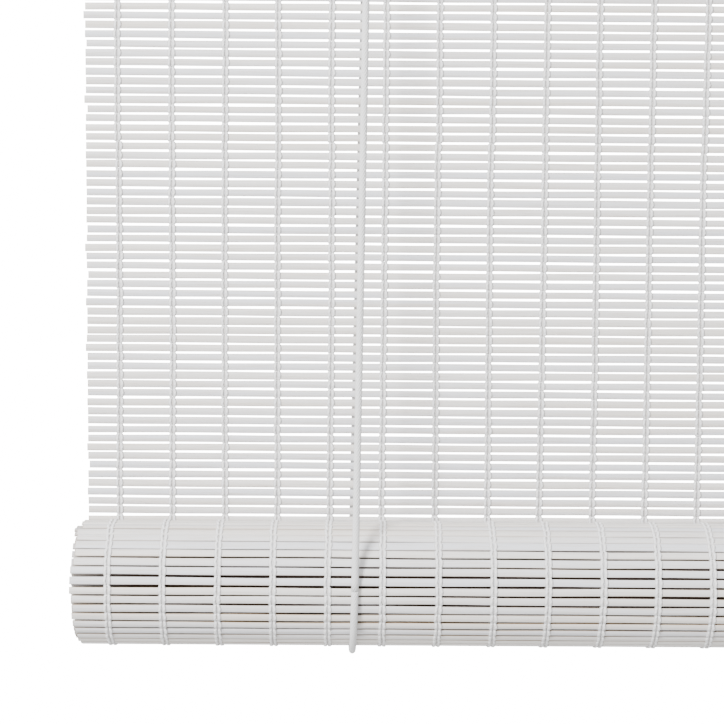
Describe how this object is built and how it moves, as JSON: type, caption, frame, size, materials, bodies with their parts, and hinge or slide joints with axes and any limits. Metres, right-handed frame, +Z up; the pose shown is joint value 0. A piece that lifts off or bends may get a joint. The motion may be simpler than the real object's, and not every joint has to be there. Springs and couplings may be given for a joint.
{
  "type": "bamboo roll up blind",
  "caption": "Flat mat of white painted bamboo slats woven with yarn, partly rolled up at the bottom in two lift cords that run over pulleys to a lock and a bell pull.",
  "frame": {"origin": "on the wall face, half way between the two holes that the blind hangs from", "axes": "+Z up, X along the slats, +Y towards the wall"},
  "size_m": [0.6333, 0.0891, 0.7008],
  "materials": {
    "painted_bamboo": "satin",
    "yarn": "matte",
    "cord": "matte",
    "painted_wood": "satin",
    "steel": "satin",
    "plastic": "gloss"
  },
  "bodies": {
    "head": {"head_batten": "painted_wood", "back_clamp_strip": "painted_wood", "clamp_staples": "steel", "left_hanger": "steel", "right_hanger": "steel", "hanger_screws": "steel", "pulley_screws": "steel", "lock_screws": "steel", "left_pulley_housing": "steel", "right_pulley_housing": "steel", "left_sheave_pin": "steel", "right_sheave_pin": "steel", "cord_lock_body": "steel", "lock_roller_pin": "steel", "lock_cam_pin": "steel", "cord_anchor_staples": "steel", "left_anchor_knot": "cord", "right_anchor_knot": "cord", "upper_slats": "painted_bamboo", "upper_bindings": "yarn", "drop_slats": "painted_bamboo", "drop_bindings": "yarn", "left_back_cord": "cord", "left_front_cord": "cord", "left_top_cord": "cord", "left_tail_cord": "cord", "right_back_cord": "cord", "right_front_cord": "cord", "right_top_cord": "cord", "right_tail_cord": "cord"},
    "lift_loops": {"left_loop_cord": "cord", "right_loop_cord": "cord"},
    "roll": {"rolled_mat": "painted_bamboo", "rolled_bindings": "yarn", "bottom_batten": "painted_wood", "bottom_staples": "steel"},
    "left_sheave": {"left_sheave": "plastic"},
    "right_rear_sheave": {"right_rear_sheave": "plastic"},
    "right_front_sheave": {"right_front_sheave": "plastic"},
    "lock_roller": {"lock_roller": "plastic"},
    "lock_cam": {"lock_cam": "plastic"},
    "pull": {"pull_bell": "painted_wood", "pull_knot": "cord"}
  },
  "joints": [
    {"name": "roll_lift", "type": "slide", "parent": "head", "child": "lift_loops", "axis": [0, 0, 1], "range_m": [0, 0.5], "deforming": ["drop_slats", "drop_bindings", "left_back_cord", "left_front_cord", "right_back_cord", "right_front_cord"]},
    {"name": "roll_turn", "type": "hinge", "parent": "lift_loops", "child": "roll", "pos_m": [0, -0.04745, -0.6491], "axis": [-1, 0, 0], "range_deg": [0, 720]},
    {"name": "left_sheave_turn", "type": "hinge", "parent": "head", "child": "left_sheave", "pos_m": [-0.125, -0.045, -0.027], "axis": [0, 1, 0], "range_deg": [0, 6745]},
    {"name": "right_rear_sheave_turn", "type": "hinge", "parent": "head", "child": "right_rear_sheave", "pos_m": [0.157, -0.045, -0.027], "axis": [0, 1, 0], "range_deg": [0, 6745]},
    {"name": "right_front_sheave_turn", "type": "hinge", "parent": "head", "child": "right_front_sheave", "pos_m": [0.157, -0.051, -0.027], "axis": [0, 1, 0], "range_deg": [0, 6745]},
    {"name": "lock_roller_turn", "type": "hinge", "parent": "head", "child": "lock_roller", "pos_m": [0.304, -0.048, -0.027], "axis": [0, 1, 0], "range_deg": [0, 6745]},
    {"name": "lock_cam_tilt", "type": "hinge", "parent": "head", "child": "lock_cam", "pos_m": [0.32379, -0.048, -0.041], "axis": [0, 1, 0], "range_deg": [0, 35]},
    {"name": "pull_slide", "type": "slide", "parent": "head", "child": "pull", "axis": [0, 0, -1], "range_m": [0, 1], "deforming": ["left_tail_cord", "right_tail_cord"]}
  ],
  "couplings": [
    {"joint": "roll_turn", "follows": "roll_lift", "rad_per_m": 25.133},
    {"joint": "left_sheave_turn", "follows": "roll_lift", "rad_per_m": 235.29},
    {"joint": "right_rear_sheave_turn", "follows": "roll_lift", "rad_per_m": 235.29},
    {"joint": "right_front_sheave_turn", "follows": "roll_lift", "rad_per_m": 235.29},
    {"joint": "lock_roller_turn", "follows": "roll_lift", "rad_per_m": 235.29},
    {"joint": "pull_slide", "follows": "roll_lift", "ratio": 2}
  ]
}
